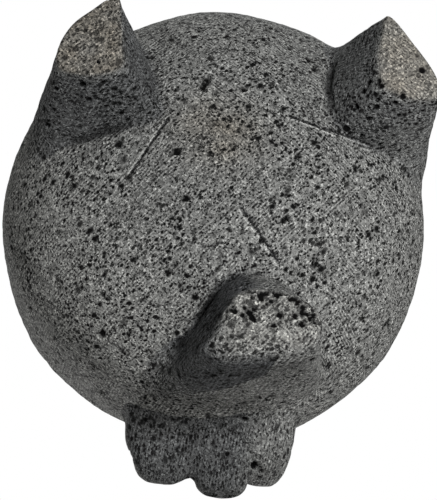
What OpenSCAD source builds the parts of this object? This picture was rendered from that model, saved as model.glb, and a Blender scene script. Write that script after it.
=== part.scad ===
// Three-legged stone mortar with a pig's head carved on its side, and its loose pestle.
// Millimetres. Z is up from the feet, the head points to -Y, and the origin is under the
// middle of the whole stone's box. Everything is drawn round the bowl's own axis and then
// moved back by half of what the head adds to the length.

/* [Bowl] */
// Radius of the bowl where it is widest
bowl_r = 100; // [92:1:110]
// Radius of the bowl's outside at the rim
rim_r = 97; // [90:1:97]
// Height of the rim above the ground
rim_z = 128; // [122:1:136]
// Height at which the bowl is widest
widest_z = 92; // [88:1:96]
// Clearance under the middle of the bowl
belly_z = 22; // [18:1:26]
// Squareness of the belly's curve, where 2 is an ellipse
belly_power = 2.3; // [2:0.1:2.6]
// Radius of the basin at the rim
basin_r = 82; // [76:1:84]
// Depth of the basin
basin_depth = 77; // [68:1:80]
// Squareness of the basin's curve, where 2 is an ellipse
basin_power = 2.2; // [2:0.1:2.4]
// Height of the rounding on top of the rim
rim_round = 6; // [4:0.5:8]

/* [Legs] */
// Width of a foot at its outer edge
foot_width = 42; // [34:1:46]
// Width of a leg where it runs into the bowl
root_width = 76; // [66:1:80]
// How far in the front foot reaches, from the bowl's axis
front_foot_in = 68; // [62:1:74]
// How far in the pig's left rear foot reaches
left_foot_in = 66; // [56:1:70]
// How far in the pig's right rear foot reaches
right_foot_in = 63; // [56:1:68]
// How far out the front foot reaches
front_foot_out = 97; // [92:1:97]
// How far out the pig's left rear foot reaches
left_foot_out = 94; // [88:1:96]
// How far out the pig's right rear foot reaches
right_foot_out = 88; // [86:1:96]

/* [Head] */
// How far the snout reaches from the bowl's axis
head_reach = 130; // [124:1:136]
// Width of the head across its jowls
head_width = 77; // [72:1:80]
// Radius of the snout at its nose
snout_r = 12; // [11:0.5:14]
// Height of the middle of the snout
snout_z = 96.5; // [92:0.5:98]
// How far the snout sits to the pig's right
snout_aside = 8.5; // [0:0.5:9]
// Half width of the pig's left ear
left_ear_half = 13.5; // [11:0.5:14]
// Half width of the pig's right ear
right_ear_half = 9; // [8:0.5:10]

/* [Pestle] */
// Length of the pestle
pestle_length = 128; // [112:1:132]
// Radius of its grinding end
pestle_r = 27; // [24:0.5:28]
// Radius of its waist, where it is held
pestle_waist_r = 18.5; // [15:0.5:19]
// Radius of its upper end
pestle_top_r = 20; // [18:0.5:21]
// Lean of the pestle from upright
pestle_lean = 44; // [40:0.5:44]

/* [Hidden] */
stone = [0.36, 0.36, 0.35];
worn_stone = [0.45, 0.43, 0.40];
axis_y = (head_reach - bowl_r) / 2;
crown_z = rim_z - rim_round;
rim_mid_r = (rim_r + basin_r) / 2;
rim_half = (rim_r - basin_r) / 2;
rim_power = 3;
curve_steps = 20;
rim_steps = 8;
root_z = 74;
root_r = rim_r - 1;
foot_slice = 1;
// Azimuths of the legs, counted from +X towards +Y
front_azimuth = 266;
rear_left_azimuth = 26;
rear_right_azimuth = 144;
head_x = -2;
jowl_r = 17;
jowl_z = 92;
brow_r = 15;
brow_z = 112;
left_ear_x = 19;
right_ear_x = -29.5;
left_eye_x = 0.5;
right_eye_x = -16;
eye_r = 4.6;
eye_z = 114;
pestle_foot_y = 10;
pestle_foot_z = 79.8;

// A superellipse's quarter: p = 0 is its wide end and p = 1 is its tip
function super_x(p, power) = pow(cos(90 * p), 2 / power);
function super_y(p, power) = pow(sin(90 * p), 2 / power);

// Outside of the bowl from the middle of its belly up to the rounding of the rim
function belly_curve() = [
    for (i = [curve_steps : -1 : 1])
        let (p = i / curve_steps)
        [bowl_r * super_x(p, belly_power),
         widest_z - (widest_z - belly_z) * super_y(p, belly_power)]
];
function wall_curve() = [
    for (i = [0 : rim_steps - 1])
        let (p = i / rim_steps)
        [bowl_r - (bowl_r - rim_r) * pow(p, 2), widest_z + (crown_z - widest_z) * p]
];
function rim_curve() = [
    for (i = [0 : 2 * rim_steps])
        let (p = i / rim_steps, side = p <= 1 ? 1 : -1, q = p <= 1 ? p : 2 - p)
        [rim_mid_r + side * rim_half * super_x(q, rim_power),
         crown_z + rim_round * super_y(q, rim_power)]
];
function basin_curve() = [
    for (i = [1 : curve_steps])
        let (p = i / curve_steps)
        [basin_r * super_x(p, basin_power),
         crown_z - (basin_depth - rim_round) * super_y(p, basin_power)]
];

// The bowl without its basin: what the legs and the head are cut to
module bowl_stock() {
    outer_rim = [for (i = [0 : rim_steps]) rim_curve()[i]];
    rotate_extrude($fn = 128)
        polygon(concat(belly_curve(), wall_curve(), outer_rim, [[0, rim_z]]));
}

module about_bowl_axis() {
    translate([0, axis_y, 0]) children();
}

module mortar_bowl() {
    color(stone)
        about_bowl_axis()
            rotate_extrude($fn = 128)
                polygon(concat(belly_curve(), wall_curve(), rim_curve(), basin_curve()));
}

// Level slice of a leg, drawn with the bowl's axis at the origin and the leg along +X:
// a blunt prow towards the middle, and an arc round the bowl's axis on the outside
module leg_slice(prow_x, prow_w, reach, width) {
    intersection() {
        circle(r = reach, $fn = 96);
        polygon([
            [prow_x, -prow_w / 2],
            [reach * 0.87, -width / 2],
            [reach + 1, -width / 2 * 0.9],
            [reach + 1, width / 2 * 0.9],
            [reach * 0.87, width / 2],
            [prow_x, prow_w / 2]
        ]);
    }
}

// Leg from a flat foot up to a wide root, cut away where the bowl begins
module leg(azimuth, foot_in, foot_out, prow_w, root_in, root_prow_w) {
    difference() {
        rotate([0, 0, azimuth])
            hull() {
                linear_extrude(foot_slice) leg_slice(foot_in, prow_w, foot_out, foot_width);
                translate([0, 0, root_z])
                    linear_extrude(foot_slice)
                        leg_slice(root_in, root_prow_w, root_r, root_width);
            }
        bowl_stock();
    }
}

module leg_front() {
    color(worn_stone)
        about_bowl_axis() leg(front_azimuth, front_foot_in, front_foot_out, 26, 20, 30);
}

module leg_rear_left() {
    color(worn_stone)
        about_bowl_axis() leg(rear_left_azimuth, left_foot_in, left_foot_out, 10, 8, 12);
}

module leg_rear_right() {
    color(worn_stone)
        about_bowl_axis() leg(rear_right_azimuth, right_foot_in, right_foot_out, 10, 20, 24);
}

// Jowls and brow in one rounded block, running into the bowl
module head_form() {
    hull()
        for (side = [-1, 1]) {
            translate([head_x + side * (head_width / 2 - jowl_r), 12 - bowl_r, jowl_z])
                sphere(r = jowl_r, $fn = 32);
            translate([head_x + side * (head_width / 2 - jowl_r), -2 - bowl_r, jowl_z])
                sphere(r = jowl_r, $fn = 32);
            translate([head_x + side * (head_width / 2 - brow_r - 2), 7 - bowl_r, brow_z])
                sphere(r = brow_r, $fn = 32);
        }
}

// Slightly tapered round snout that ends in a flat nose
module snout_form() {
    translate([-snout_aside, -head_reach, snout_z])
        rotate([-90, 0, 0])
            cylinder(r1 = snout_r, r2 = snout_r + 3, h = head_reach - bowl_r, $fn = 64);
}

// Ear that springs from the brow and hangs forward beside the snout
module ear_form(middle_x, half_width) {
    translate([middle_x, 0, 0])
        scale([half_width / 12, 1, 1])
            hull() {
                translate([0, 4 - bowl_r, 117.5]) sphere(r = 12, $fn = 24);
                translate([0, -13 - bowl_r, 110]) sphere(r = 12, $fn = 24);
                translate([0, -17 - bowl_r, 99]) sphere(r = 9, $fn = 24);
            }
}

module pig_head() {
    color(stone)
        about_bowl_axis()
            difference() {
                head_form();
                bowl_stock();
            }
}

module pig_snout() {
    color(stone)
        about_bowl_axis()
            difference() {
                snout_form();
                head_form();
                bowl_stock();
            }
}

module ear(middle_x, half_width) {
    color(stone)
        about_bowl_axis()
            difference() {
                ear_form(middle_x, half_width);
                head_form();
                snout_form();
                bowl_stock();
            }
}

module ear_left() {
    ear(left_ear_x, left_ear_half);
}

module ear_right() {
    ear(right_ear_x, right_ear_half);
}

module eye(middle_x) {
    color(stone)
        about_bowl_axis()
            difference() {
                translate([middle_x, -10 - bowl_r, eye_z]) sphere(r = eye_r, $fn = 32);
                head_form();
                ear_form(left_ear_x, left_ear_half);
                ear_form(right_ear_x, right_ear_half);
            }
}

module eye_left() {
    eye(left_eye_x);
}

module eye_right() {
    eye(right_eye_x);
}

// Half outline of the pestle, from the middle of its grinding end up
function pestle_outline() = concat(
    [for (i = [curve_steps : -1 : 0])
        let (p = i / curve_steps)
        [pestle_r * super_x(p, 2.2), -pestle_r * super_y(p, 2.2)]],
    [for (i = [1 : curve_steps])
        let (p = i / curve_steps, drop = (1 - cos(180 * p)) / 2)
        [pestle_r + (pestle_waist_r - pestle_r) * drop, p * 0.62 * pestle_length]],
    [for (i = [0 : curve_steps])
        let (p = i / curve_steps, top = pestle_length - pestle_r)
        [pestle_top_r * super_x(p, 2.4),
         top - pestle_top_r * 0.7 * (1 - super_y(p, 2.4))]]
);

// Pestle leaning on the rim at the back, with its grinding end on the basin's floor
module tejolote() {
    color(worn_stone)
        about_bowl_axis()
            translate([0, pestle_foot_y, pestle_foot_z])
                rotate([-pestle_lean, 0, 0])
                    rotate_extrude($fn = 96) polygon(pestle_outline());
}

mortar_bowl();
leg_front();
leg_rear_left();
leg_rear_right();
pig_head();
pig_snout();
ear_left();
ear_right();
eye_left();
eye_right();
tejolote();
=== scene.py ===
"""Carved basalt molcajete with a pig's head, and its loose tejolote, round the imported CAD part.

Shapes are worked out in millimetres with the bowl's own axis as the origin's upright, and
`build` turns them into metres in the row's frame. Each piece is one closed surface.
"""

import math
from types import SimpleNamespace

import bpy
import numpy as np
from mathutils import Matrix, Vector


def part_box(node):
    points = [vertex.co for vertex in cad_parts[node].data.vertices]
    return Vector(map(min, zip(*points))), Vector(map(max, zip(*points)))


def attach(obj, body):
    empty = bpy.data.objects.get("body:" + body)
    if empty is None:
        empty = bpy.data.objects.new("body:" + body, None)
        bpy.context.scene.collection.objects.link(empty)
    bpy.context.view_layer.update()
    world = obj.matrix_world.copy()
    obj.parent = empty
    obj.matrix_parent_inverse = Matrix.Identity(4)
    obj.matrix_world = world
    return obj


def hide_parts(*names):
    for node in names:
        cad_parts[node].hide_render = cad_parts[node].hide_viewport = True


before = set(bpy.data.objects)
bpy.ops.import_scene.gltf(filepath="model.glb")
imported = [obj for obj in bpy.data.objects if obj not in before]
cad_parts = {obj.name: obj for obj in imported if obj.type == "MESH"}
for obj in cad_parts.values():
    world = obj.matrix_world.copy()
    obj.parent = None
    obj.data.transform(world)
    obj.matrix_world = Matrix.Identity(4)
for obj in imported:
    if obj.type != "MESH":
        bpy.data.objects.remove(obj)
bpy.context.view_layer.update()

# ---------------------------------------------------------------- sizes, in millimetres

METRE = 1000.0
bowl_low, bowl_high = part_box("mortar_bowl")
AXIS_Y = (bowl_low.y + bowl_high.y) / 2
BOWL_R = (bowl_high.x - bowl_low.x) / 2 * METRE
RIM_Z = bowl_high.z * METRE
BELLY_Z = bowl_low.z * METRE
WIDEST_Z = BELLY_Z + 70.0
BELLY_POWER = 2.3
RIM_R = BOWL_R - 3.0
BASIN_R = BOWL_R - 18.0
RIM_ROUND = 6.0
RIM_POWER = 3.0
CROWN_Z = RIM_Z - RIM_ROUND
BASIN_DROP = 71.0
BASIN_POWER = 2.2
ROOT_Z = 74.0

PESTLE_LEAN = math.radians(44.0)
PESTLE_FOOT = np.array([0.0, 10.0, 79.8])
PESTLE_R = 27.0
PESTLE_WAIST_R = 18.5
PESTLE_TOP_R = 20.0
PESTLE_WAIST_AT = 79.4
PESTLE_TOP_AT = 101.0


# ---------------------------------------------------------------- small mathematics


def smooth_step(low, high, x):
    """0 at low, 1 at high, 3t^2 - 2t^3 between them and level beyond; low may be the larger."""
    t = np.clip((x - low) / (high - low), 0.0, 1.0)
    return t * t * (3.0 - 2.0 * t)


def soft_min(a, b, reach):
    """The smaller of two distances, with the corner between them filled over `reach`."""
    h = np.clip(0.5 + 0.5 * (b - a) / reach, 0.0, 1.0)
    return b + (a - b) * h - reach * h * (1.0 - h)


def soft_max(a, b, reach):
    """The larger of two distances, with the corner between them rounded over `reach`."""
    return -soft_min(-a, -b, reach)


def unit(v):
    """Vectors at length one."""
    return v / np.maximum(np.linalg.norm(v, axis=-1, keepdims=True), 1e-12)


def slope(field, p):
    """Direction in which a field grows, from its differences across 0.2 mm."""
    half_step = 0.1
    out = np.empty_like(p)
    for axis in range(3):
        shift = np.zeros(3)
        shift[axis] = half_step
        out[:, axis] = field(p + shift) - field(p - shift)
    return unit(out)


def waves(p, lengths, seed, count=14):
    """Smooth unevenness: a sum of plane waves in random directions, about -1 to 1."""
    rng = np.random.default_rng(seed)
    way = unit(rng.normal(size=(count, 3)))
    length = rng.uniform(lengths[0], lengths[1], count)
    start = rng.uniform(0.0, 2.0 * np.pi, count)
    phase = p @ (way * (2.0 * np.pi / length)[:, None]).T + start
    return np.sin(phase).sum(1) * math.sqrt(1.0 / count)


def scatter(cell, salt):
    """A number from 0 to 1 for each whole-numbered cell, the same every time."""
    mixed = np.sin(cell @ np.array([127.1, 311.7, 74.7]) + salt * 17.17) * 43758.5453
    return mixed - np.floor(mixed)


def bubbles(p, n, spacing, radii, share, salt):
    """Depth of the gas bubbles that the mason cut open.

    Space is a lattice of cells, and a share of them hold one bubble with a random place and
    radius. A point inside a bubble sinks along the normal to the bubble's far wall:
    depth = v.n + sqrt((v.n)^2 - v.v + R^2), where v runs from the bubble's middle.
    """
    home = np.floor(p / spacing)
    depth = np.zeros(len(p))
    for dx in (-1, 0, 1):
        for dy in (-1, 0, 1):
            for dz in (-1, 0, 1):
                cell = home + np.array([dx, dy, dz])
                place = np.stack([scatter(cell, salt + k) for k in (1, 2, 3)], 1)
                radius = radii[0] + (radii[1] - radii[0]) * scatter(cell, salt + 4) ** 2
                v = p - (cell + place) * spacing
                along = (v * n).sum(1)
                inside = radius**2 - (v * v).sum(1)
                open_here = (inside > 0) & (scatter(cell, salt + 5) < share)
                sunk = along + np.sqrt(np.maximum(along**2 + inside, 0.0))
                depth = np.maximum(depth, np.where(open_here, np.minimum(sunk, 1.3 * radius), 0.0))
    return depth


# ---------------------------------------------------------------- meshes


def grid_quads(rows, columns):
    """Quads between the rows of a grid whose rows are rings."""
    across = np.arange(columns)
    beside = (across + 1) % columns
    down = np.arange(rows - 1)[:, None] * columns
    below = down + columns
    quads = np.stack([down + across, down + beside, below + beside, below + across], -1)
    return quads.reshape(-1, 4)


def fan(tip, ring):
    """Triangles from one vertex to a ring of vertices."""
    return np.stack([np.full(len(ring), tip), ring, np.roll(ring, -1)], 1)


def corner_triangles(quads, tris):
    """All faces as triangles."""
    return np.concatenate([quads[:, [0, 1, 2]], quads[:, [0, 2, 3]], tris])


def outward(verts, quads, tris):
    """Faces turned so that the closed surface holds a positive volume, and the normals there."""
    t = corner_triangles(quads, tris)
    a, b, c = verts[t[:, 0]], verts[t[:, 1]], verts[t[:, 2]]
    if (a * np.cross(b, c)).sum() < 0:
        quads, tris = quads[:, ::-1], tris[:, ::-1]
    return quads, tris, point_normals(verts, quads, tris)


def point_normals(verts, quads, tris):
    """Area-weighted normals at the vertices."""
    t = corner_triangles(quads, tris)
    face = np.cross(verts[t[:, 1]] - verts[t[:, 0]], verts[t[:, 2]] - verts[t[:, 0]])
    total = np.zeros_like(verts)
    for axis in range(3):
        for corner in range(3):
            total[:, axis] += np.bincount(t[:, corner], face[:, axis], len(verts))
    return unit(total)


def build(name, verts, quads, tris, marks, material, node, body):
    """Makes the piece in metres in the row's frame, with a number at each vertex for each mark.

    `worn` is 1 where hands and the table rub the stone smooth, `pit_shade` is painted shade in
    pits and notches, `stain` where it is browned and `painted_shade` is painted shade on and
    beside the legs' inner sides and under the head.
    """
    mesh = bpy.data.meshes.new(name)
    placed = verts / METRE + np.array([0.0, AXIS_Y, 0.0])
    mesh.from_pydata(placed.tolist(), [], quads.tolist() + tris.tolist())
    for mark, values in marks.items():
        layer = mesh.attributes.new(mark, "FLOAT", "POINT")
        layer.data.foreach_set("value", values.astype(np.float32))
    mesh.shade_smooth()
    mesh.materials.append(material)
    piece = bpy.data.objects.new(name, mesh)
    bpy.context.scene.collection.objects.link(piece)
    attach(piece, body)
    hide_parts(node)


# ---------------------------------------------------------------- the bowl's form


def out_of_round(angle):
    """How far the hand-cut bowl is from a true circle: two broad waves round it."""
    long_way = -0.0190 * np.cos(2 * angle) - 0.006 * np.sin(2 * angle)
    three_sided = 0.0120 * np.cos(3 * angle) - 0.004 * np.sin(3 * angle)
    return 1.002 + long_way + three_sided


def bowl_distance(p):
    """Distance outside the bowl's outer surface, negative in the stone.

    Below the widest ring it is a superellipse turned round the axis, g = (a^n + b^n)^(1/n)
    with a = r / R and b = depth / height, and (g - 1) over g's own slope is the distance.
    """
    n = BELLY_POWER
    tall = WIDEST_Z - BELLY_Z
    r = np.hypot(p[:, 0], p[:, 1]) / out_of_round(np.arctan2(p[:, 1], p[:, 0]))
    a = np.maximum(r / BOWL_R, 1e-6)
    b = np.maximum((WIDEST_Z - p[:, 2]) / tall, 1e-6)
    g = (a**n + b**n) ** (1 / n)
    steep = g ** (1 - n) * np.hypot(a ** (n - 1) / BOWL_R, b ** (n - 1) / tall)
    below = (g - 1) / steep
    rise = np.clip((p[:, 2] - WIDEST_Z) / (CROWN_Z - WIDEST_Z), 0.0, 1.0)
    beside = r - (BOWL_R - (BOWL_R - RIM_R) * rise**2)
    return np.where(p[:, 2] < WIDEST_Z, below, beside)


def disc_grid(n):
    """Radius and angle of a square grid pressed into a round disc of even cells."""
    side = np.linspace(-1.0, 1.0, n + 1)
    x, y = np.meshgrid(side, side)
    wide = np.abs(x) > np.abs(y)
    radius = np.where(wide, x, y)
    small = 1e-12
    turn_x = np.pi / 4 * y / np.where(np.abs(x) < small, small, x)
    turn_y = np.pi / 2 - np.pi / 4 * x / np.where(np.abs(y) < small, small, y)
    angle = np.where(wide, turn_x, turn_y)
    px, py = radius * np.cos(angle), radius * np.sin(angle)
    return np.hypot(px, py), np.arctan2(py, px)


def disc_edge(n):
    """Vertex numbers round the edge of such a grid, anticlockwise from its lowest corner."""
    row = n + 1
    low = np.arange(n)
    right = np.arange(n) * row + n
    top = n * row + np.arange(n, 0, -1)
    left = np.arange(n, 0, -1) * row
    return np.concatenate([low, right, top, left])


def disc_quads(n):
    """Quads of such a grid, anticlockwise seen from above."""
    i, j = np.meshgrid(np.arange(n), np.arange(n))
    first = (j * (n + 1) + i).ravel()
    return np.stack([first, first + 1, first + n + 2, first + n + 1], 1)


def even_area(profile, radius):
    """Points on a turned profile where the area inside them is radius^2 of the whole."""
    r, z = profile
    step = np.hypot(np.diff(r), np.diff(z)) * (r[1:] + r[:-1]) / 2
    area = np.concatenate([[0.0], np.cumsum(step)])
    at = np.interp(radius**2, area / area[-1], np.arange(len(r)))
    return np.interp(at, np.arange(len(r)), r), np.interp(at, np.arange(len(r)), z)


def quarter(p, power):
    """A superellipse's quarter, from its wide end at p = 0 to its tip at p = 1."""
    turn = np.pi / 2 * p
    return np.cos(turn).clip(0) ** (2 / power), np.sin(turn).clip(0) ** (2 / power)


def outside_profile():
    """The bowl's outside from the middle of its belly to the rounding of its rim."""
    wide, deep = quarter(np.linspace(1.0, 0.0, 400), BELLY_POWER)
    rise = np.linspace(0.0, 1.0, 60)[1:]
    r = np.concatenate([BOWL_R * wide, BOWL_R - (BOWL_R - RIM_R) * rise**2])
    belly = WIDEST_Z - (WIDEST_Z - BELLY_Z) * deep
    wall = WIDEST_Z + (CROWN_Z - WIDEST_Z) * rise
    return r, np.concatenate([belly, wall])


def basin_profile():
    """The basin from its deepest point to its upper edge."""
    wide, deep = quarter(np.linspace(1.0, 0.0, 400), BASIN_POWER)
    return BASIN_R * wide, CROWN_Z - BASIN_DROP * deep


def turned(r, z, angle):
    """Points at radius r, height z and an angle, on the out-of-round bowl."""
    reach = r * out_of_round(angle)
    return np.stack([reach * np.cos(angle), reach * np.sin(angle), z], -1).reshape(-1, 3)


def stitch(wide_ring, narrow_ring):
    """Triangles from a ring of vertices to one with half as many."""
    wide_next = np.roll(wide_ring, -1)
    a, b, c = wide_ring[0::2], wide_ring[1::2], wide_next[1::2]
    d, e = narrow_ring, np.roll(narrow_ring, -1)
    return np.concatenate([np.stack(t, 1) for t in ((a, b, d), (b, e, d), (b, c, e))])


def rim_ring(side, p, angle):
    """A ring of the rim's half superellipse: p is 0 at an edge and 1 on top, side is 1 outside."""
    wide, high = quarter(np.array(p), RIM_POWER)
    r = (RIM_R + BASIN_R) / 2 + side * (RIM_R - BASIN_R) / 2 * wide
    return turned(np.full(len(angle), r), np.full(len(angle), CROWN_Z + RIM_ROUND * high), angle)


def ring_quads(ring, inner_ring):
    """Quads between two rings of as many vertices."""
    return np.stack([ring, inner_ring, np.roll(inner_ring, -1), np.roll(ring, -1)], 1)[:, ::-1]


def bowl_surface(n):
    """Outside, rim and basin as one closed surface.

    The outside is a pressed grid of n cells a side, the rim is rings from its edge over a
    half superellipse, and the basin is a pressed grid of half as many cells.
    """
    radius, angle = disc_grid(n)
    parts = [turned(*even_area(outside_profile(), radius), angle)]
    quads = [disc_quads(n)[:, ::-1]]
    tris = []
    last_ring = disc_edge(n)
    start = len(parts[0])
    edge_angle = angle.ravel()[last_ring]
    steps = 7
    rings = [(1, step / steps, edge_angle) for step in range(1, steps + 1)]
    rings += [(-1, 1.0 - step / steps, edge_angle[0::2]) for step in range(1, steps)]
    for side, p, ring_angle in rings:
        ring = start + np.arange(len(ring_angle))
        parts.append(rim_ring(side, p, ring_angle))
        if len(ring) == len(last_ring):
            quads.append(ring_quads(last_ring, ring))
        else:
            tris.append(stitch(last_ring, ring))
        last_ring = ring
        start += len(ring)
    radius, angle = disc_grid(n // 2)
    parts.append(turned(*even_area(basin_profile(), radius), angle))
    quads.append(start + disc_quads(n // 2))
    quads.append(ring_quads(last_ring, start + disc_edge(n // 2)))
    return np.concatenate(parts), np.concatenate(quads), np.concatenate(tris)


# ---------------------------------------------------------------- relief of the stone


def cut_lines(p, lines):
    """Depth of the notch that the chisel left where a leg meets the bowl.

    Each line is points with a depth at each, and the notch is deep exp(-(gap / width)^2).
    """
    depth = np.zeros(len(p))
    near = np.where(p[:, 2] < ROOT_Z)[0]
    for points, deep in lines:
        for block in np.array_split(near, max(1, len(near) // 20000)):
            gap = np.linalg.norm(p[block][:, None, :] - points[None, :, :], axis=2)
            nearest = gap.argmin(1)
            width = 0.9 + 0.5 * deep[nearest]
            here = deep[nearest] * np.exp(-((gap.min(1) / width) ** 2))
            depth[block] = np.maximum(depth[block], here)
    return depth


def drilled(p, n, holes):
    """Depth of bubbles at set places: each is a middle and a radius, sunk as in `bubbles`."""
    depth = np.zeros(len(p))
    for x, y, z, radius in holes:
        v = p - np.array([x, y, z])
        near = np.where((v * v).sum(1) < radius**2)[0]
        along = (v[near] * n[near]).sum(1)
        inside = radius**2 - (v[near] ** 2).sum(1)
        sunk = np.minimum(along + np.sqrt(along**2 + inside), 1.3 * radius)
        depth[near] = np.maximum(depth[near], sunk)
    return depth


def foot_holes():
    """Large bubbles crowded at the front foot's inner edge and on the right rear leg's inner side."""
    rng = np.random.default_rng(12)
    few = 90
    many = 110
    front = np.column_stack([rng.uniform(-28, 14, few), -67 - 15 * rng.uniform(0, 1, few) ** 1.5,
                             rng.uniform(-0.5, 0.7, few), rng.uniform(0.75, 1.6, few)])
    rear = np.column_stack([rng.uniform(-78, -48, many), rng.uniform(26, 43, many),
                            rng.uniform(1.5, 10.0, many), rng.uniform(0.8, 1.7, many)])
    return np.concatenate([front, rear])


def relief(p, n, worn, cell, lines=()):
    """Outward shift in millimetres, and painted shade: the share of each point that lies in pits and
    notches.

    Broad swells from the hand-held chisel, shorter chips, open bubbles no smaller than the
    grid can hold, and the notches along the legs. Worn stone keeps little of them. `cell` is
    the grid's spacing in millimetres.
    """
    swell = 0.45 * waves(p, (28, 60), 3) * (1 - 0.7 * worn)
    chips = 0.10 * waves(p, (6, 11), 5, 20) * (1 - 0.8 * worn)
    fine = 0.05 * waves(p, (3.0, 4.6), 8, 24) * (1 - 0.8 * worn)
    crowd = smooth_step(-0.6, 0.9, waves(p, (18, 45), 21))
    deep = bubbles(p, n, 7.0, (1.1, 2.1), 0.6, 11) * (0.25 + 0.75 * crowd)
    if cell < 0.9:
        deep = np.maximum(deep, bubbles(p, n, 4.4, (0.8, 1.4), 0.6, 31) * (0.4 + 0.6 * crowd))
    deep = np.maximum(deep * (1 - 0.85 * worn), drilled(p, n, HOLES))
    notch = cut_lines(p, lines)
    # The second value is painted shade: the bubbles and the notches are darkened towards the pore
    # colour
    pit_shade = smooth_step(0.1, 0.7, deep)
    return swell + chips + fine - deep - notch, np.maximum(pit_shade, 0.7 * smooth_step(0.5, 1.6, notch))


# ---------------------------------------------------------------- the legs

# Each outline is drawn along +X with the bowl's axis at the origin: the prow first, then
# round by -Y. `foot` is on the ground and `root` is the same leg's outline at ROOT_Z.
# `azimuth` turns the leg to its place, in degrees from +X. `cut_side` is the flank with the
# chisel's notch and `cut` its depth. `edge` is the foot's rounding towards the bowl's axis and
# away from it. `browned` and `rubbed` are how stained and how worn the foot is, `inner_shade`
# how much painted shade darkens the leg's inner side, and `inner_shade_from` where round the
# leg that painted shade starts, -1 to 1 across it.
LEGS = {
    "leg_front": {
        "azimuth": 266.0,
        "foot": [(67, 0), (69, -12), (75, -21), (84, -23), (92, -19), (96, -8),
                 (97, 6), (97, 18), (92, 24), (83, 20), (75, 16), (69, 10)],
        "root": [(22, 3), (26, -14), (50, -30), (70, -38), (86, -40), (94, -20),
                 (97, 3), (95, 26), (89, 38), (74, 32), (56, 24), (33, 14)],
        "cut_side": 1.0,
        "cut": 3.8,
        "edge": (2.2, 12.0),
        "browned": 0.2,
        "rubbed": 0.3,
        "inner_shade": 1.0,
        "inner_shade_from": 0.1,
    },
    "leg_rear_left": {
        "azimuth": 27.5,
        "foot": [(68, -3), (72, -11), (79, -17), (88, -20), (93, -12),
                 (94, 0), (91, 11), (86, 24), (79.5, 16), (74, 7)],
        "root": [(6, 0), (45, -26), (62, -34), (83, -37), (93, -22),
                 (97, 0), (93, 24), (68, 38), (36, 23), (14, 8)],
        "cut_side": -1.0,
        "cut": 2.0,
        "edge": (2.2, 1.6),
        "browned": 1.0,
        "rubbed": 0.3,
        "inner_shade": 0.8,
        "inner_shade_from": -2.0,
    },
    "leg_rear_right": {
        "azimuth": 144.0,
        "foot": [(65, 3), (70, -7), (77, -15), (86.5, -23.5), (88.5, -6),
                 (88.5, 9), (85, 20), (77, 18), (70, 12)],
        "root": [(22, 2), (34, -20), (54, -31), (76, -38), (98, -10),
                 (98, 28), (78, 40), (52, 26), (30, 13)],
        "cut_side": -1.0,
        "cut": 1.8,
        "edge": (3.0, 1.8),
        "browned": 0.8,
        "rubbed": 0.7,
        "inner_shade": 0.66,
        "inner_shade_from": -1.0,
    },
}


def closed_curve(points, count):
    """Closed Catmull-Rom curve through given points, as evenly numbered samples."""
    q = np.array(points, float)
    at = np.arange(count) * len(q) / count
    i = at.astype(int)
    t = (at - i)[:, None]
    a, b, c, d = (q[(i + k) % len(q)] for k in (-1, 0, 1, 2))
    straight = 2 * b + (c - a) * t
    bent = (2 * a - 5 * b + 4 * c - d) * t**2 + (3 * b - 3 * c + d - a) * t**3
    return 0.5 * (straight + bent)


def about_axis(outline, azimuth):
    """An outline drawn along +X, turned to its leg's place round the bowl."""
    turn = math.radians(azimuth)
    x = outline[:, 0] * math.cos(turn) - outline[:, 1] * math.sin(turn)
    y = outline[:, 0] * math.sin(turn) + outline[:, 1] * math.cos(turn)
    return np.stack([x, y], 1)


def leg_lines(leg, columns):
    """A leg's lines, with one point or direction for each column round it.

    The wall runs straight from the foot's outline to the root's, and halving finds the crease
    where it goes into the bowl. `away` leads from the crease over the bowl. `ahead` and `flank`
    say which way a column faces, -1 to 1: away from the bowl's axis, and to the notch's side.
    """
    foot = about_axis(closed_curve(leg["foot"], columns), leg["azimuth"])
    root = about_axis(closed_curve(leg["root"], columns), leg["azimuth"])
    edge = np.column_stack([foot, np.zeros(columns)])
    top = np.column_stack([root, np.full(columns, ROOT_Z)])
    low, high = np.zeros(columns), np.ones(columns)
    for _ in range(30):
        mid = (low + high) / 2
        out = bowl_distance(edge + (top - edge) * mid[:, None]) > 0
        low, high = np.where(out, mid, low), np.where(out, high, mid)
    crease = edge + (top - edge) * high[:, None]
    along = np.roll(crease, -1, 0) - np.roll(crease, 1, 0)
    away = unit(np.cross(slope(bowl_distance, crease), along))
    away *= np.sign((away * (crease - crease.mean(0))).sum(1, keepdims=True))
    turn = math.radians(leg["azimuth"])
    side = unit(crease[:, :2] - foot.mean(0) * 0.85)
    ahead = side @ np.array([math.cos(turn), math.sin(turn)])
    flank = side @ np.array([-math.sin(turn), math.cos(turn)]) * leg["cut_side"]
    return SimpleNamespace(edge=edge, crease=crease, wall=unit(top - edge), away=away,
                           ahead=ahead, flank=flank)


def bend(a, b, c, rows):
    """Rows of a quadratic curve from a to c that leans on b, without its first row."""
    t = (np.arange(1, rows + 1) / rows)[:, None, None]
    return (1 - t) ** 2 * a + 2 * t * (1 - t) * b + t**2 * c


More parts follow.
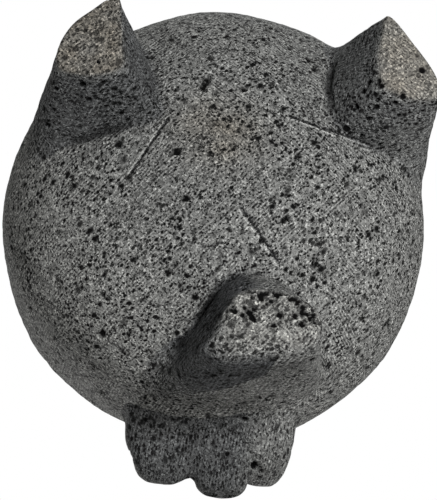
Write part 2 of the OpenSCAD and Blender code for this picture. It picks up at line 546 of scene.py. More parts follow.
def leg_surface(leg, columns):
    """Closed leg: flat foot, rounded edge, wall, a fillet into the bowl and a hidden cap.

    The fillet is 2 mm on the side of the bowl's axis and up to 18 mm away from it. Past it the
    surface turns down into the bowl, where it isn't seen.
    """
    line = leg_lines(leg, columns)
    edge, crease, wall, away = line.edge, line.crease, line.wall, line.away
    centre = edge.mean(0)
    outer = smooth_step(-0.1, 0.6, line.ahead)
    sharp, blunt = leg["edge"]
    worn_edge = (sharp + (blunt - sharp) * outer)[:, None]
    inner = edge + unit(centre - edge) * worn_edge
    above = edge + wall * worn_edge
    fillet = (2.0 + 16.0 * outer)[:, None]
    tall = np.linalg.norm(crease - edge, axis=1, keepdims=True)
    fillet = np.minimum(fillet, 0.4 * tall)
    low = crease - wall * fillet
    far = crease + away * fillet
    far -= bowl_distance(far)[:, None] * slope(bowl_distance, far)
    rings = centre + (inner - centre) * (np.arange(1, 25) / 24)[:, None, None]
    corner = bend(inner, edge, above, 5)
    side = above + (low - above) * (np.arange(1, 71) / 70)[:, None, None]
    blend = bend(low, crease, far, 12)
    far_normal = slope(bowl_distance, far)
    dip = (far + 0.9 * away - 0.8 * far_normal)[None]
    sunk = (far + 0.9 * away - 5.0 * far_normal)[None]
    heart = sunk[0].mean(0)
    cap = sunk[0] + (heart - sunk[0]) * (np.arange(1, 4) / 4)[:, None, None]
    rows = np.concatenate([rings, corner, side, blend, dip, sunk, cap])
    count = len(rows)
    verts = np.concatenate([rows.reshape(-1, 3), centre[None], heart[None]])
    quads = grid_quads(count, columns)
    ring = np.arange(columns)
    tris = np.concatenate([fan(count * columns, ring)[:, ::-1],
                           fan(count * columns + 1, (count - 1) * columns + ring)])
    hidden = np.zeros(len(verts))
    hidden[(count - 4) * columns: count * columns] = 1.0
    hidden[-1] = 1.0
    return verts, quads, tris, hidden


def crease_lines():
    """The creases of all the legs, with how deep the chisel ran in each.

    It ran deepest on one flank, hardly at all outside, and came and went along the line.
    """
    lines = []
    for leg in LEGS.values():
        line = leg_lines(leg, 240)
        uneven = 0.8 + 0.3 * waves(line.crease, (14, 30), 77)
        beside = smooth_step(-0.2, 0.6, line.flank) * smooth_step(0.75, 0.3, line.ahead)
        lines.append((line.crease, leg["cut"] * beside * uneven))
    return lines


def shade_near_legs(p):
    """Painted shade on the legs' inner sides, fading over a few millimetres of the bowl beside them."""
    inner_shade = np.zeros(len(p))
    for leg in LEGS.values():
        line = leg_lines(leg, 120)
        from_leg = np.hypot(*(p - line.crease.mean(0))[:, :2].T)
        close = np.where((p[:, 2] < ROOT_Z) & (from_leg < 60))[0]
        gap = np.linalg.norm(p[close][:, None, :] - line.crease[None], axis=2)
        nearest = gap.argmin(1)
        above_bowl = bowl_distance(p[close]) > 0.6
        reach = np.where(above_bowl, 1.0, np.exp(-((gap.min(1) / 2.0) ** 2)))
        one_side = smooth_step(leg["inner_shade_from"] - 0.3, leg["inner_shade_from"] + 0.2, line.flank)
        inside = smooth_step(0.6, 0.2, line.ahead)
        inner_shade[close] = np.maximum(inner_shade[close], leg["inner_shade"] * reach * (inside * one_side)[nearest])
    return inner_shade


# ---------------------------------------------------------------- the pig's head

# An ear's middle and half width, and an eye's middle
LEFT_EAR = ((18.0, -107.2, 109.0), 12.6)
RIGHT_EAR = ((-28.8, -103.8, 110.5), 9.0)
LEFT_EYE = (0.8, -111.5, 114.5)
RIGHT_EYE = (-15.6, -111.5, 114.5)
EYE_R = 5.2
# How deep a piece of the head goes under its neighbour's skin
DIVE = 1.5


def cube_sphere(n):
    """Directions on a closed sphere of six n by n grids, and its quads."""
    side = np.tan(np.linspace(-np.pi / 4, np.pi / 4, n + 1))
    u, v = (a.ravel() for a in np.meshgrid(side, side))
    one = np.ones_like(u)
    faces = [(one, u, v), (-one, v, u), (v, one, u), (u, -one, v), (u, v, one), (v, u, -one)]
    points = unit(np.concatenate([np.stack(f, 1) for f in faces]))
    quads = np.concatenate([k * (n + 1) ** 2 + disc_quads(n) for k in range(6)])
    key = np.round(points * 1e5).astype(np.int64)
    _, first, same = np.unique(key, axis=0, return_index=True, return_inverse=True)
    return points[first], same.reshape(-1)[quads]


def block(p, centre, half, power):
    """Distance outside a superellipsoid, (sum |q / half|^power)^(1/power) = 1, towards its centre."""
    q = p - np.array(centre, float)
    g = (np.abs(q / np.array(half, float)) ** power).sum(1) ** (1 / power)
    return np.linalg.norm(q, axis=1) * (1 - 1 / np.maximum(g, 1e-9))


def flat_cut(p, point, normal):
    """Distance beyond a plane."""
    return (p - np.array(point, float)) @ unit(np.array(normal, float))


def ball(p, centre, radius):
    """Distance outside a sphere."""
    return np.linalg.norm(p - np.array(centre, float), axis=1) - radius


def jowls(p):
    """Head block: a rounded block with a sloping forehead, pared under the jaw to a keel.

    The carver left the keel, the snout and the ears a little to the pig's right. The mouth is
    a shallow groove along the lower half of an ellipse round the snout.
    """
    body = block(p, (-2.0, -94, 98), (37.3, 27, 27.5), 3.4)
    left_flat = flat_cut(p, (-17, -97, 71.5), (0.30, -0.50, -0.80))
    right_flat = flat_cut(p, (-17, -97, 71.5), (-0.30, -0.30, -0.90))
    forehead = flat_cut(p, (0, -121, 105), (0.0, -0.74, 0.67))
    pared = soft_max(soft_max(body, left_flat, 5.0), right_flat, 4.0)
    sloped = soft_max(pared, forehead, 3.0)
    wide, tall = 20, 17
    ring = np.abs(np.hypot((p[:, 0] + 8) / wide, (p[:, 2] - 98) / tall) - 1) * tall
    mouth = np.maximum(np.maximum(ring - 1.4, p[:, 2] - 90), -sloped - 1.8)
    return soft_max(sloped, -mouth, 1.0)


def snout(p):
    """Snout: a round bar towards -Y, drawn in behind its nose, with two nostrils."""
    q = p - np.array([-8.0, -111.3, 96.5])
    taper = 1 - 0.13 * np.exp(-(((q[:, 1] + 9.5) / 4.0) ** 2))
    round_bar = np.hypot(q[:, 0] / (12.4 * taper), q[:, 2] / (11.8 * taper))
    g = (round_bar**4 + np.abs(q[:, 1] / 18.0) ** 4) ** (1 / 4)
    bar = np.linalg.norm(q, axis=1) * (1 - 1 / np.maximum(g, 1e-9))
    holes = np.minimum(ball(p, (-3.6, -129.5, 97.5), 3.0), ball(p, (-12.4, -129.5, 97.5), 3.0))
    return soft_max(bar, -holes, 0.8)


def ear(p, centre, half_width):
    """Ear: a thick flap from the brow that hangs forward and is dished in front."""
    q = p - np.array(centre, float)
    way = unit(np.array([0.0, -0.80, -0.60]))
    face = unit(np.array([0.0, -0.60, 0.80]))
    s, w, t = q @ way, q[:, 0], q @ face
    g = (np.abs(s / 18.5) ** 3 + np.abs(w / half_width) ** 3 + np.abs(t / 10.0) ** 3) ** (1 / 3)
    flap = np.linalg.norm(q, axis=1) * (1 - 1 / np.maximum(g, 1e-9))
    hollow = np.sqrt(((s - 2) / 1.6) ** 2 + (w * 8.0 / half_width) ** 2 + (t - 13.0) ** 2) - 7.0
    return soft_max(flap, -hollow, 2.0)


def ray_surface(centre, field, reach, n):
    """Closed surface round a centre: halving finds where each ray leaves the form.

    `reach` is longer than any ray needs, and n is the number of cells along a sixth's side.
    """
    way, quads = cube_sphere(n)
    start = np.array(centre, float)
    low, high = np.zeros(len(way)), np.full(len(way), float(reach))
    for _ in range(24):
        mid = (low + high) / 2
        inside = field(start + way * mid[:, None]) < 0
        low, high = np.where(inside, mid, low), np.where(inside, high, mid)
    return start + way * low[:, None], quads


def joined(own, neighbour, under, over):
    """Form filleted to its neighbour, which then dives under the neighbour's skin.

    The fillet reaches as far as `blend` from the form's own surface: `under` on the head's
    lower side and `over` on its upper side. Past that the surface sinks, and the form ends a
    little further on, where the neighbour hides it.
    """

    def field(p):
        a = own(p)
        b = neighbour(p)
        blend = under + (over - under) * smooth_step(100.0, 108.0, p[:, 2])
        sink = DIVE * smooth_step(0.5 * blend, blend, a)
        return np.maximum(soft_min(a, b, blend) + sink, a - blend - 1.0)

    return field


def eye(p, centre):
    """Eye: a ball half sunk in the forehead."""
    return ball(p, centre, EYE_R)


def face(p):
    """Head block with a groove 2.4 mm deep round the snout, the ears and the eyes, above the jaw."""
    block_out = jowls(p)
    near = np.minimum(snout(p), np.minimum(ear(p, *LEFT_EAR), ear(p, *RIGHT_EAR)))
    near = np.minimum(near, np.minimum(eye(p, LEFT_EYE), eye(p, RIGHT_EYE)))
    groove = np.maximum(near - 1.9, -block_out - 2.4 * smooth_step(102.0, 108.0, p[:, 2]))
    return soft_max(block_out, -groove, 1.2)


def head_core(p):
    """What an ear runs into: the bowl, the block and the snout."""
    return np.minimum(np.minimum(bowl_distance(p), face(p)), snout(p))


def head_pieces():
    """For each piece: the middle its rays start from, its form, their reach and the grid's size."""
    return {
        "pig_head": ((-2, -97, 99), joined(face, bowl_distance, 5.0, 5.0), 90, 84),
        "pig_snout": ((-8.0, -112, 96.5), joined(snout, face, 8.0, 2.0), 60, 52),
        "ear_left": (LEFT_EAR[0], joined(lambda p: ear(p, *LEFT_EAR), head_core, 6.0, 2.0), 60, 52),
        "ear_right": (RIGHT_EAR[0], joined(lambda p: ear(p, *RIGHT_EAR), head_core, 10.0, 2.0), 60, 48),
        "eye_left": (LEFT_EYE, joined(lambda p: eye(p, LEFT_EYE), face, 1.2, 1.2), 20, 18),
        "eye_right": (RIGHT_EYE, joined(lambda p: eye(p, RIGHT_EYE), face, 1.2, 1.2), 20, 18),
    }


# ---------------------------------------------------------------- the pestle


def pestle_surface(columns):
    """Turned pestle, leaning: a blunt grinding end, a shaft that draws in to a waist, a round top."""
    wide, deep = quarter(np.linspace(1.0, 0.0, 50), 2.2)
    shaft = np.linspace(0.0, 1.0, 84)[1:]
    neck = np.linspace(0.0, 1.0, 9)[1:]
    top_wide, top_high = quarter(np.linspace(0.0, 1.0, 34)[1:], 2.4)
    top_low = PESTLE_TOP_AT - 0.7 * PESTLE_TOP_R
    r = np.concatenate([
        PESTLE_R * wide,
        PESTLE_R + (PESTLE_WAIST_R - PESTLE_R) * (1 - np.cos(np.pi * shaft)) / 2,
        PESTLE_WAIST_R + (PESTLE_TOP_R - PESTLE_WAIST_R) * neck * neck * (3 - 2 * neck),
        PESTLE_TOP_R * top_wide,
    ])
    z = np.concatenate([
        -PESTLE_R * deep,
        PESTLE_WAIST_AT * shaft,
        PESTLE_WAIST_AT + (top_low - PESTLE_WAIST_AT) * neck,
        top_low + 0.7 * PESTLE_TOP_R * top_high,
    ])
    count = len(r)
    angle = np.arange(columns) * 2 * np.pi / columns
    x = (r[:, None] * np.cos(angle)).ravel()[columns:-columns]
    y = (r[:, None] * np.sin(angle)).ravel()[columns:-columns]
    h = np.repeat(z, columns)[columns:-columns]
    verts = np.column_stack([x, y, h])
    verts = np.concatenate([verts, [[0, 0, z[0]], [0, 0, z[-1]]]])
    ring = np.arange(columns)
    rows = count - 2
    tris = np.concatenate([fan(rows * columns, ring)[:, ::-1],
                           fan(rows * columns + 1, (rows - 1) * columns + ring)])
    height = verts[:, 2].copy()
    c, s = math.cos(-PESTLE_LEAN), math.sin(-PESTLE_LEAN)
    turn = np.array([[1, 0, 0], [0, c, -s], [0, s, c]])
    return verts @ turn.T + PESTLE_FOOT, grid_quads(rows, columns), tris, height


# ---------------------------------------------------------------- materials


def linear(colour):
    """sRGB hex such as "8a8a87" as linear RGBA."""
    srgb = [int(colour[k: k + 2], 16) / 255 for k in (0, 2, 4)]
    return [c / 12.92 if c <= 0.04045 else ((c + 0.055) / 1.055) ** 2.4 for c in srgb] + [1.0]


def put(tree, kind, inputs=(), **settings):
    """Adds a node: its settings, then its inputs, each a number, a colour or another node's output."""
    made = tree.nodes.new("ShaderNode" + kind)
    for setting, value in settings.items():
        setattr(made, setting, value)
    for socket, value in dict(inputs).items():
        if isinstance(value, bpy.types.NodeSocket):
            tree.links.new(value, made.inputs[socket])
        else:
            made.inputs[socket].default_value = value
    return made


def open_pores(tree, place, spacing, radii, share, edge):
    """1 in the open pores and 0 between them.

    One pore may sit in each cell of a lattice `spacing` mm apart. The cell's own random
    number says whether it holds one and how wide, in mm.
    """
    cells = put(tree, "TexVoronoi", {"Vector": place, "Scale": 1 / spacing, "Randomness": 1.0})
    chance = put(tree, "SeparateColor", {"Color": cells.outputs["Color"]}).outputs[0]
    radius = put(tree, "MapRange", {
        "Value": chance, "From Min": 1 - share, "From Max": 1.0,
        "To Min": radii[0] / spacing, "To Max": radii[1] / spacing}).outputs["Result"]
    held = put(tree, "Math", {0: chance, 1: 1 - share}, operation="GREATER_THAN").outputs[0]
    gap = cells.outputs["Distance"]
    ratio = put(tree, "Math", {0: gap, 1: radius}, operation="DIVIDE").outputs[0]
    hole = put(tree, "MapRange", {
        "Value": ratio, "From Min": edge, "From Max": 1.1, "To Min": 1.0, "To Max": 0.0},
        interpolation_type="SMOOTHSTEP").outputs["Result"]
    return put(tree, "Math", {0: hole, 1: held}, operation="MULTIPLY").outputs[0]


def chisel_strokes(tree, place, turn, spacing):
    """Ridges `spacing` mm apart that wander and break off: what one run of the chisel leaves.

    `turn` is their direction in degrees. The wave node's own spacing at a scale of 1 is 0.314.
    """
    laid = put(tree, "Mapping", {
        "Vector": place, "Rotation": (0.0, 0.0, math.radians(turn))}).outputs[0]
    bands = put(tree, "TexWave", {
        "Vector": laid, "Scale": 0.314 / spacing, "Distortion": 2.2, "Detail": 2.0,
        "Detail Scale": 0.8, "Detail Roughness": 0.6}, wave_type="BANDS", bands_direction="Y")
    drawn = put(tree, "Mapping", {
        "Vector": laid, "Scale": (1 / 7.0, 1 / 1.3, 1 / 1.3)}).outputs[0]
    broken = put(tree, "TexNoise", {"Vector": drawn, "Scale": 1.0, "Detail": 2.0}).outputs[0]
    crisp = put(tree, "Math", {0: bands.outputs["Fac"], 1: 2.0}, operation="POWER").outputs[0]
    return put(tree, "Math", {0: crisp, 1: broken}, operation="MULTIPLY").outputs[0]


# Strokes that slipped, in millimetres round the bowl's axis: from, to, and half width
SLIPS = [
    ((2.6, -22.5, 23.0), (-14.4, -43.0, 27.0), 0.75),
    ((36.5, 18.3, 26.0), (51.5, -9.6, 29.5), 0.6),
    ((-18.0, 25.0, 24.0), (-40.0, 21.0, 27.0), 0.55),
    ((-37.0, 22.5, 26.5), (-56.0, 20.5, 32.5), 0.6),
    ((-53.0, 19.0, 32.0), (-76.0, 20.4, 45.5), 0.6),
]


def slipped_stroke(tree, place, start, end, half_width):
    """Signed profile across one stroke: +1 on the ridge thrown up and -1 in the groove beside it.

    A point's place along the stroke is t = clamp((P - A).(B - A) / |B - A|^2), and its offset is
    P - A - t (B - A). The profile is a smooth step from +1 to -1 over the offset's sideways
    part, and it fades out between one and three half widths from the stroke. In the colour the
    profile is a painted highlight on the ridge and painted shade in the groove.
    """
    start = Vector(start) + Vector((0.0, AXIS_Y * METRE, 0.0))
    run = Vector(end) + Vector((0.0, AXIS_Y * METRE, 0.0)) - start
    across = run.cross(Vector((0.0, 0.0, 1.0))).normalized()
    here = put(tree, "VectorMath", {0: place, 1: start}, operation="SUBTRACT").outputs[0]
    ahead = put(tree, "VectorMath", {
        0: here, 1: run / run.length_squared}, operation="DOT_PRODUCT")
    t = put(tree, "Math", {0: ahead.outputs["Value"], 1: 0.0},
            operation="ADD", use_clamp=True).outputs[0]
    along = put(tree, "VectorMath", {0: run, "Scale": t}, operation="SCALE").outputs[0]
    offset = put(tree, "VectorMath", {0: here, 1: along}, operation="SUBTRACT").outputs[0]
    gap = put(tree, "VectorMath", {0: offset}, operation="LENGTH").outputs["Value"]
    near = put(tree, "MapRange", {
        "Value": gap, "From Min": half_width, "From Max": 3.0 * half_width,
        "To Min": 1.0, "To Max": 0.0}, interpolation_type="SMOOTHSTEP").outputs["Result"]
    aside = put(tree, "VectorMath", {
        0: offset, 1: across / half_width}, operation="DOT_PRODUCT").outputs["Value"]
    side = put(tree, "MapRange", {
        "Value": aside, "From Min": -0.9, "From Max": 0.9,
        "To Min": 1.0, "To Max": -1.0}, interpolation_type="SMOOTHSTEP").outputs["Result"]
    return put(tree, "Math", {0: side, 1: near}, operation="MULTIPLY").outputs[0]


def basalt(name, pale, dark, pore, drawn, stroke_turns):
    """Vesicular basalt, dressed with a point chisel and left raw.

    A matt mid-grey groundmass with paler grains, crowded with gas pores of every size whose
    insides carry a near-black painted shade, and thin parallel chisel strokes; slipped strokes
    get a painted highlight on the ridge and painted shade in the groove. Worn feet are a little
    brown, and painted shade darkens the steep sides of the legs and the head.

    `drawn` is the turn in degrees and the stretch of the pores, and `stroke_turns` the two
    directions of the strokes in degrees. `pore` is the colour of the painted shade in the pores,
    pits and notches.
    """
    material = bpy.data.materials.new(name)
    material.use_nodes = True
    tree = material.node_tree
    tree.nodes.clear()
    bare = put(tree, "TexCoord").outputs["Object"]
    place = put(tree, "VectorMath", {0: bare, "Scale": METRE}, operation="SCALE").outputs[0]
    wobble = put(tree, "TexNoise", {"Vector": place, "Scale": 0.8, "Detail": 2.0})
    shift = put(tree, "VectorMath", {
        0: wobble.outputs["Color"], 1: (1.5, 1.5, 1.5), 2: (-0.75, -0.75, -0.75)},
        operation="MULTIPLY_ADD").outputs[0]
    bent = put(tree, "VectorMath", {0: place, 1: shift}, operation="ADD").outputs[0]
    turn, stretch = drawn
    pulled = put(tree, "Mapping", {
        "Vector": bent, "Rotation": (0.0, 0.0, math.radians(turn)), "Scale": stretch},
        vector_type="TEXTURE").outputs[0]

    # Pores up to 3.7 mm, up to 2.3 mm and about 1 mm across, the larger ones in crowds 18 mm wide
    large = open_pores(tree, pulled, 4.4, (0.8, 1.85), 0.65, 0.5)
    middle = open_pores(tree, pulled, 2.4, (0.5, 1.15), 0.85, 0.55)
    small = open_pores(tree, pulled, 1.3, (0.30, 0.64), 0.85, 0.6)
    crowds = put(tree, "TexNoise", {
        "Vector": place, "Scale": 1 / 18, "Detail": 2.0}).outputs[0]
    crowd = put(tree, "MapRange", {
        "Value": crowds, "From Min": 0.36, "From Max": 0.52, "To Min": 0.35, "To Max": 1.0},
        interpolation_type="SMOOTHSTEP").outputs["Result"]
    first = put(tree, "Math", {0: large, 1: middle}, operation="MAXIMUM").outputs[0]
    crowded = put(tree, "Math", {0: first, 1: crowd}, operation="MULTIPLY").outputs[0]
    fine = put(tree, "Math", {0: small, 1: 0.95}, operation="MULTIPLY").outputs[0]
    pores = put(tree, "Math", {0: crowded, 1: fine}, operation="MAXIMUM").outputs[0]
    worn = put(tree, "Attribute", attribute_name="worn").outputs["Fac"]
    keep = put(tree, "MapRange", {
        "Value": worn, "To Min": 1.0, "To Max": 0.35}).outputs["Result"]
    open_here = put(tree, "Math", {0: pores, 1: keep}, operation="MULTIPLY").outputs[0]
    # Painted shade: the pores and the carved pits and notches take the near-black pore colour
    pit_shade = put(tree, "Attribute", attribute_name="pit_shade").outputs["Fac"]
    hollow = put(tree, "Math", {0: open_here, 1: pit_shade}, operation="MAXIMUM").outputs[0]

    # Chisel strokes 1.4 mm apart, one way on the pig's left and the other way on its right, in
    # patches 11 mm wide where the later dressing didn't rub them out
    one_way, other_way = (chisel_strokes(tree, place, turn, 1.4) for turn in stroke_turns)
    turns = put(tree, "TexNoise", {
        "Vector": place, "Scale": 1 / 35, "Detail": 1.0}).outputs[0]
    side = put(tree, "VectorMath", {
        0: place, 1: (-1 / 220, 1 / 600, 0.0)}, operation="DOT_PRODUCT").outputs["Value"]
    leaning = put(tree, "Math", {0: turns, 1: side}, operation="ADD").outputs[0]
    which = put(tree, "MapRange", {
        "Value": leaning, "From Min": 0.54, "From Max": 0.60}).outputs["Result"]
    both_ways = put(tree, "Mix", {0: which, 2: one_way, 3: other_way}).outputs[0]
    patches = put(tree, "TexNoise", {
        "Vector": place, "Scale": 1 / 11, "Detail": 1.0}).outputs[0]
    kept = put(tree, "MapRange", {
        "Value": patches, "From Min": 0.45, "From Max": 0.60,
        "To Min": 0.10, "To Max": 1.0}).outputs["Result"]
    calm = put(tree, "Math", {0: both_ways, 1: -0.19}, operation="ADD").outputs[0]
    strokes = put(tree, "Math", {0: calm, 1: kept}, operation="MULTIPLY").outputs[0]
    # The slipped strokes' profile: relief in the bump, and in the colour a painted highlight on each
    # ridge and painted shade in each groove
    scored = 0.0
    for start, end, half_width in SLIPS:
        stroke = slipped_stroke(tree, place, start, end, half_width)
        scored = put(tree, "Math", {0: stroke, 1: scored}, operation="ADD").outputs[0]

    # Grains of 1 mm and of 0.65 mm, a few of them much paler, on a groundmass that clouds over 14 mm
    grain = put(tree, "TexNoise", {
        "Vector": place, "Scale": 0.95, "Detail": 3.0, "Roughness": 0.8}).outputs[0]
    cloud = put(tree, "TexNoise", {
        "Vector": place, "Scale": 1 / 14, "Detail": 3.0, "Roughness": 0.55}).outputs[0]
    lucks = []
    for width in (0.65, 1.0):
        crystals = put(tree, "TexVoronoi", {
            "Vector": bent, "Scale": 1 / width, "Randomness": 1.0}).outputs["Color"]
        lucks.append(put(tree, "SeparateColor", {"Color": crystals}).outputs[1])
    luck, coarse_luck = lucks
    bright = put(tree, "MapRange", {
        "Value": luck, "From Min": 0.86, "From Max": 1.0}).outputs["Result"]
    tone = put(tree, "Math", {0: grain, 1: 1.1, 2: -0.45}, operation="MULTIPLY_ADD").outputs[0]
    # The slipped strokes here paint a highlight on their ridges and shade in their grooves
    paler = ((luck, 0.85), (coarse_luck, 0.12), (strokes, 1.1), (cloud, 0.35), (bright, 0.85),
             (worn, 0.25), (scored, 0.9))
    for part, much in paler:
        tone = put(tree, "Math", {0: part, 1: much, 2: tone}, operation="MULTIPLY_ADD").outputs[0]
    share = put(tree, "MapRange", {
        "Value": tone, "From Min": 0.12, "From Max": 2.36}).outputs["Result"]
    colour = put(tree, "Mix", {
        0: share, 6: linear(dark), 7: linear(pale)}, data_type="RGBA").outputs[2]
    stained = put(tree, "Attribute", attribute_name="stain").outputs["Fac"]
    patchy = put(tree, "Math", {0: stained, 1: cloud}, operation="MULTIPLY").outputs[0]
    # Brown stain where the stone is stained, then painted shade on the legs' inner sides and under the
    # head
    painted_shade = put(tree, "Attribute", attribute_name="painted_shade").outputs["Fac"]
    for where, stain_and_shade_tint in ((patchy, BROWN_STAIN), (painted_shade, PAINTED_SHADE_GREY)):
        colour = put(tree, "Mix", {0: where, 6: colour, 7: linear(stain_and_shade_tint)},
                     data_type="RGBA", blend_type="MULTIPLY").outputs[2]
    # Painted shade in the pores, pits and notches
    colour = put(tree, "Mix", {
        0: hollow, 6: colour, 7: linear(pore)}, data_type="RGBA").outputs[2]
    height = put(tree, "Math", {0: open_here, 1: -1.0}, operation="MULTIPLY").outputs[0]
    for ridge, much in ((grain, 1.5), (strokes, 0.4), (scored, 0.9)):
        height = put(tree, "Math", {0: ridge, 1: much, 2: height}, operation="MULTIPLY_ADD").outputs[0]
    bump = put(tree, "Bump", {"Strength": 1.0, "Distance": 0.001, "Height": height})
    shader = put(tree, "BsdfPrincipled", {
        "Base Color": colour, "Roughness": 0.9, "Specular IOR Level": 0.12, "IOR": 1.5,
        "Normal": bump.outputs[0]})
    put(tree, "OutputMaterial", {"Surface": shader.outputs[0]})
    return material


# ---------------------------------------------------------------- making the pieces

# What lies over the stone: earth rubbed into it, and grey painted shade on the legs' inner sides and
# under the head
BROWN_STAIN = "dccbb4"
PAINTED_SHADE_GREY = "a2a4a9"

LINES = crease_lines()
HOLES = foot_holes()


def carve_bowl(stone):
    """The bowl: its basin and rim are rubbed smooth, and its belly has one brown spot."""
    verts, quads, tris = bowl_surface(256)
    quads, tris, normals = outward(verts, quads, tris)
    radius = np.hypot(verts[:, 0], verts[:, 1])
    in_basin = (radius < RIM_R - 6.0) & (normals[:, 2] > -0.02) & (verts[:, 2] > 45.0)
    worn = np.where(in_basin, smooth_step(RIM_Z + 4, CROWN_Z - 14, verts[:, 2]) * 0.9, 0.0)
    shift, pit_shade = relief(verts, normals, worn, 1.07, LINES)
    belly_spot = np.exp(-(((verts[:, 0] - 14) / 17) ** 2) - ((verts[:, 1] - 13) / 15) ** 2)
    # The last mark is painted shade on the bowl beside the legs' inner sides
    marks = {"worn": worn, "pit_shade": pit_shade, "stain": np.where(verts[:, 2] < 60, belly_spot, 0.0),
             "painted_shade": shade_near_legs(verts)}
    build("mortar_bowl_stone", verts + normals * shift[:, None], quads, tris, marks,
          stone, "mortar_bowl", "mortar")


def carve_leg(name, leg, stone):
    """A leg: the chisel's marks end at its foot, which the table has worn flat."""
    verts, quads, tris, hidden = leg_surface(leg, 300)
    quads, tris, normals = outward(verts, quads, tris)
    foot = smooth_step(3.0, 0.3, verts[:, 2])
    worn = leg["rubbed"] * foot
    shift, pit_shade = relief(verts, normals, worn, 0.65, LINES)
    shift = np.minimum(shift * (1 - hidden), 0.2 * (1 - foot) + 2.0 * (verts[:, 2] > 3.0))
    # The last mark is painted shade on the leg's inner side, fading out towards the foot
    marks = {"worn": worn, "pit_shade": pit_shade, "stain": foot * leg["browned"],
             "painted_shade": shade_near_legs(verts) * smooth_step(0.5, 7.0, verts[:, 2])}
    verts = verts + normals * shift[:, None]
    verts[:, 2] = np.maximum(verts[:, 2], 0.0)
    build(name + "_stone", verts, quads, tris, marks, stone, name, "mortar")


def carve_head(name, centre, field, reach, n, stone):
    """A piece of the head: smoother than the bowl, with painted shade below and on the pig's left."""
    verts, quads = ray_surface(centre, field, reach, n)
    quads, tris, normals = outward(verts, quads, np.zeros((0, 3), int))
    calm = np.full(len(verts), 0.9 if name.startswith("eye") else 0.3)
    shift, pit_shade = relief(verts, normals, calm, 0.8)
    # Painted shade: darker on the pig's left and towards the head's underside
    left = 0.25 + 0.6 * smooth_step(-24.0, -10.0, verts[:, 0])
    marks = {"worn": calm * 0.3, "pit_shade": pit_shade, "stain": np.zeros(len(verts)),
             "painted_shade": left * smooth_step(112.0, 98.0, verts[:, 2])}
    build(name + "_stone", verts + normals * shift[:, None], quads, tris, marks,
          stone, name, "mortar")


def carve_pestle(stone):
    """The pestle: smoothest at its grinding end. Its relief stays inside the turned form."""
    verts, quads, tris, height = pestle_surface(200)
    quads, tris, normals = outward(verts, quads, tris)
    worn = 0.85 * smooth_step(26.0, 2.0, height) + 0.25
    shift, pit_shade = relief(verts, normals, worn, 0.9)
    shift = np.minimum(shift, 0.1)
    nowhere = np.zeros(len(verts))
    marks = {"worn": worn, "pit_shade": pit_shade, "stain": nowhere, "painted_shade": nowhere}
    build("tejolote_stone", verts + normals * shift[:, None], quads, tris, marks,
          stone, "tejolote", "pestle")


# Each stone's third colour is the near-black painted shade in its pores, pits and notches
dressed = basalt("dressed_basalt", "c8c9c7", "242425", "030303", (135, (1.35, 0.85, 0.85)), (48, -38))
scored = basalt("scored_basalt", "bcbdbb", "242425", "030303", (0, (0.70, 1.5, 1.5)), (84, 97))
handled = basalt("handled_basalt", "b0b0ac", "343434", "080808", (0, (1.0, 1.0, 1.0)), (48, -38))

carve_bowl(dressed)
for name, leg in LEGS.items():
    carve_leg(name, leg, dressed)
for name, form in head_pieces().items():
    carve_head(name, *form, scored)
carve_pestle(handled)

# ---------------------------------------------------------------- stage, light and camera


def pale_floor():
    """Pale table top, seen from above only, so that the underside stays in view and in the light.

    Its matt white paint has no gloss, so the shadow under the stone is soft and has no reflection.
    """
    mesh = bpy.data.meshes.new("floor")
    half = 6.0
    corners = [(-half, -half, 0), (half, -half, 0), (half, half, 0), (-half, half, 0)]
    mesh.from_pydata(corners, [], [(0, 1, 2, 3)])
    material = bpy.data.materials.new("matt_white_table")
    material.use_nodes = True
    tree = material.node_tree
    tree.nodes.clear()
    under = put(tree, "NewGeometry").outputs["Backfacing"]
    paint = put(tree, "BsdfPrincipled", {"Base Color": linear("ecebe8"), "Roughness": 0.8})
    clear = put(tree, "BsdfTransparent")
    either = put(tree, "MixShader", {0: under, 1: paint.outputs[0], 2: clear.outputs[0]})
    put(tree, "OutputMaterial", {"Surface": either.outputs[0]})
    mesh.materials.append(material)
    floor = bpy.data.objects.new("floor", mesh)
    floor.visible_shadow = False
    bpy.context.scene.collection.objects.link(floor)


def sun(name, towards, strength, softness, colour):
    """A distant light that shines from `towards`."""
    data = bpy.data.lights.new(name, "SUN")
    data.energy = strength
    data.angle = math.radians(softness)
    data.color = colour
    lamp = bpy.data.objects.new(name, data)
    lamp.matrix_world = Vector(towards).to_track_quat("Z", "Y").to_matrix().to_4x4()
    bpy.context.scene.collection.objects.link(lamp)


def lamp(name, place, towards, radius, power, colour):
    """A round softbox at a place, in metres, that faces a point and is never seen itself."""
    data = bpy.data.lights.new(name, "AREA")
    data.shape = "DISK"
    data.size = 2 * radius
    data.energy = power
    data.color = colour
    box = bpy.data.objects.new(name, data)
    way = Vector(place) - Vector(towards)
    box.matrix_world = Matrix.Translation(place) @ way.to_track_quat("Z", "Y").to_matrix().to_4x4()
    box.visible_camera = False
    bpy.context.scene.collection.objects.link(box)


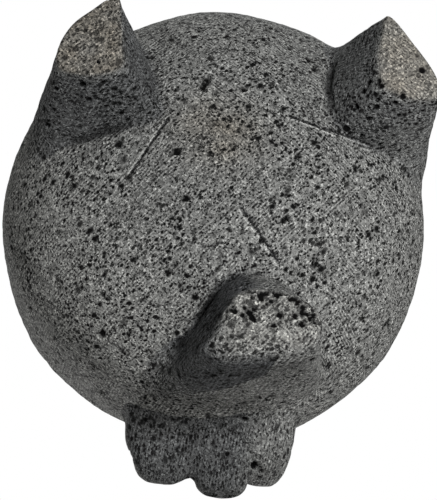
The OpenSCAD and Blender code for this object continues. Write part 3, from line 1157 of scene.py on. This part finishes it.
def pale_world(seen, lit):
    """White where the camera looks past the object, and a weak even light everywhere."""
    world = bpy.data.worlds.new("studio")
    bpy.context.scene.world = world
    world.use_nodes = True
    tree = world.node_tree
    tree.nodes.clear()
    looked_at = put(tree, "LightPath").outputs["Is Camera Ray"]
    white = put(tree, "Background", {"Color": (1.0, 1.0, 1.0, 1.0), "Strength": seen})
    soft = put(tree, "Background", {"Color": (0.95, 0.98, 1.0, 1.0), "Strength": lit})
    both = put(tree, "MixShader", {0: looked_at, 1: soft.outputs[0], 2: white.outputs[0]})
    put(tree, "OutputWorld", {"Surface": both.outputs[0]})


CAMERA_TILT = math.radians(24.4)
CAMERA_AZIMUTH = math.radians(24.5)
CAMERA_ROLL = math.radians(29.1)
CAMERA_AWAY = 0.8
CAMERA_LENS = 126.9
AIM = Vector((0.0028, AXIS_Y - 0.0228, 0.070))


def low_camera():
    """Camera under the stone: it looks up at the belly, tilted towards the head's left."""
    flat = Vector((math.sin(CAMERA_AZIMUTH), -math.cos(CAMERA_AZIMUTH), 0.0))
    down = Vector((0.0, 0.0, -1.0))
    back = flat * math.sin(CAMERA_TILT) + down * math.cos(CAMERA_TILT)
    level_up = down * math.sin(CAMERA_TILT) - flat * math.cos(CAMERA_TILT)
    level_right = level_up.cross(back)
    right = level_right * math.cos(CAMERA_ROLL) + level_up * math.sin(CAMERA_ROLL)
    up = level_up * math.cos(CAMERA_ROLL) - level_right * math.sin(CAMERA_ROLL)
    data = bpy.data.cameras.new("camera")
    data.lens = CAMERA_LENS
    data.clip_start = 0.02
    camera = bpy.data.objects.new("camera", data)
    turn = Matrix((right, up, back)).transposed()
    camera.matrix_world = Matrix.Translation(AIM + back * CAMERA_AWAY) @ turn.to_4x4()
    bpy.context.scene.collection.objects.link(camera)
    bpy.context.scene.camera = camera


pale_floor()
pale_world(1.0, 0.10)
NEUTRAL = (1.0, 1.0, 0.985)
WARM = (1.0, 0.99, 0.97)
COOL = (0.97, 0.99, 1.0)
lamp("low_softbox", (-0.077, AXIS_Y - 0.066, -0.390), (0.0, AXIS_Y, 0.06), 0.042, 2.66, NEUTRAL)
sun("high_key", (0.15, -0.15, 0.975), 2.0, 8.0, WARM)
lamp("front_softbox", (-0.80, -0.65, 0.95), (0.0, 0.0, 0.06), 0.28, 7.2, WARM)
lamp("back_softbox", (-0.30, 1.10, 0.80), (0.0, 0.0, 0.06), 0.35, 7.0, COOL)
low_camera()
bpy.context.scene.view_settings.view_transform = "Standard"
